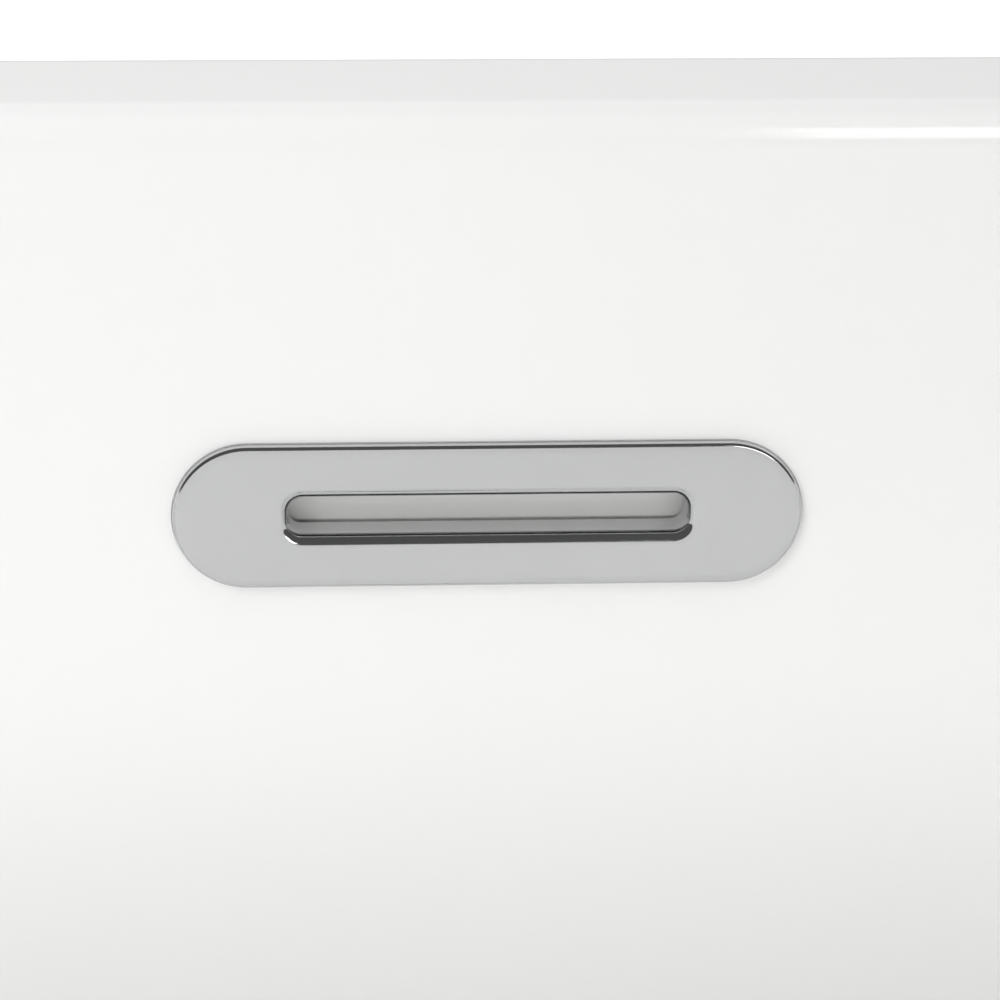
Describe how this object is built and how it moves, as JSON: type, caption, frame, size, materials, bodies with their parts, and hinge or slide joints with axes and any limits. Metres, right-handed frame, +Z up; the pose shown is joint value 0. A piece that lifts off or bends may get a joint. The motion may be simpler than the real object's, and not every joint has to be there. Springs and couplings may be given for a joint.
{
  "type": "freestanding bathtub",
  "caption": "Freestanding double-wall bathtub with a slotted overflow in its long wall, a pop-up drain, a steel frame and levelling feet.",
  "frame": {"origin": "on the floor under the middle of the tub, at the drain's axis", "axes": "+X along the tub's length, +Y towards the long wall that holds the overflow, +Z up"},
  "size_m": [1.7, 0.8, 0.58],
  "materials": {
    "acrylic_white": "high gloss white acrylic, backed with glass fibre",
    "sealant_white": "white silicone sealant",
    "plywood": "sanded birch plywood",
    "steel_black": "black powder coat",
    "steel_zinc": "bright zinc plate",
    "steel_bright": "stainless steel",
    "nylon_black": "moulded black nylon",
    "chrome": "polished chrome",
    "rubber_black": "black rubber",
    "plastic_white": "moulded white plastic",
    "hose_white": "white flexible plastic hose",
    "brass": "turned brass"
  },
  "bodies": {
    "tub": {"basin": "acrylic_white", "skirt": "acrylic_white", "rim_seam_seal": "sealant_white", "base_board": "plywood", "frame_rail_front": "steel_black", "frame_rail_rear": "steel_black", "frame_cross_1": "steel_black", "frame_cross_2": "steel_black", "frame_cross_3": "steel_black", "frame_cross_4": "steel_black", "skirt_blocks": "plywood", "block_screws": "steel_zinc", "board_screws": "steel_zinc", "foot_weld_nuts": "steel_zinc", "foot_lock_nuts": "steel_zinc", "overflow_trim": "chrome", "overflow_gasket": "rubber_black", "overflow_box_gasket": "rubber_black", "overflow_box": "plastic_white", "overflow_baffle": "plastic_white", "overflow_nuts": "steel_zinc", "overflow_hose": "hose_white", "hose_clamp_upper": "steel_bright", "hose_clamp_lower": "steel_bright", "drain_flange": "chrome", "drain_gasket": "rubber_black", "drain_washer": "rubber_black", "drain_friction_ring": "plastic_white", "drain_lock_nut": "brass", "drain_tee": "plastic_white", "tailpiece": "plastic_white", "tailpiece_washer": "rubber_black", "slip_nut": "plastic_white", "plug_cartridge": "brass", "plug_spring": "steel_bright"},
    "plug": {"plug_cap": "chrome", "plug_stem": "brass", "plug_seal": "rubber_black"},
    "foot_1": {"foot_pad_1": "nylon_black"},
    "foot_screw_1": {"foot_stud_1": "steel_zinc"},
    "foot_2": {"foot_pad_2": "nylon_black"},
    "foot_screw_2": {"foot_stud_2": "steel_zinc"},
    "foot_3": {"foot_pad_3": "nylon_black"},
    "foot_screw_3": {"foot_stud_3": "steel_zinc"},
    "foot_4": {"foot_pad_4": "nylon_black"},
    "foot_screw_4": {"foot_stud_4": "steel_zinc"}
  },
  "joints": [
    {"name": "plug_lift", "type": "slide", "parent": "tub", "child": "plug", "axis": [0, 0, 1], "range_m": [0, 0.01], "deforming": ["plug_spring"]},
    {"name": "foot_1_height", "type": "slide", "parent": "tub", "child": "foot_1", "axis": [0, 0, 1], "range_m": [-0.01, 0.01]},
    {"name": "foot_1_turn", "type": "hinge", "parent": "foot_1", "child": "foot_screw_1", "pos_m": [-0.48, -0.25, 0.01], "axis": [0, 0, 1], "range_deg": [-2060, 2060]},
    {"name": "foot_2_height", "type": "slide", "parent": "tub", "child": "foot_2", "axis": [0, 0, 1], "range_m": [-0.01, 0.01]},
    {"name": "foot_2_turn", "type": "hinge", "parent": "foot_2", "child": "foot_screw_2", "pos_m": [-0.48, 0.25, 0.01], "axis": [0, 0, 1], "range_deg": [-2060, 2060]},
    {"name": "foot_3_height", "type": "slide", "parent": "tub", "child": "foot_3", "axis": [0, 0, 1], "range_m": [-0.01, 0.01]},
    {"name": "foot_3_turn", "type": "hinge", "parent": "foot_3", "child": "foot_screw_3", "pos_m": [0.48, -0.25, 0.01], "axis": [0, 0, 1], "range_deg": [-2060, 2060]},
    {"name": "foot_4_height", "type": "slide", "parent": "tub", "child": "foot_4", "axis": [0, 0, 1], "range_m": [-0.01, 0.01]},
    {"name": "foot_4_turn", "type": "hinge", "parent": "foot_4", "child": "foot_screw_4", "pos_m": [0.48, 0.25, 0.01], "axis": [0, 0, 1], "range_deg": [-2060, 2060]}
  ],
  "couplings": [
    {"joint": "foot_1_turn", "follows": "foot_1_height", "rad_per_m": 3590.4},
    {"joint": "foot_2_turn", "follows": "foot_2_height", "rad_per_m": 3590.4},
    {"joint": "foot_3_turn", "follows": "foot_3_height", "rad_per_m": 3590.4},
    {"joint": "foot_4_turn", "follows": "foot_4_height", "rad_per_m": 3590.4}
  ]
}
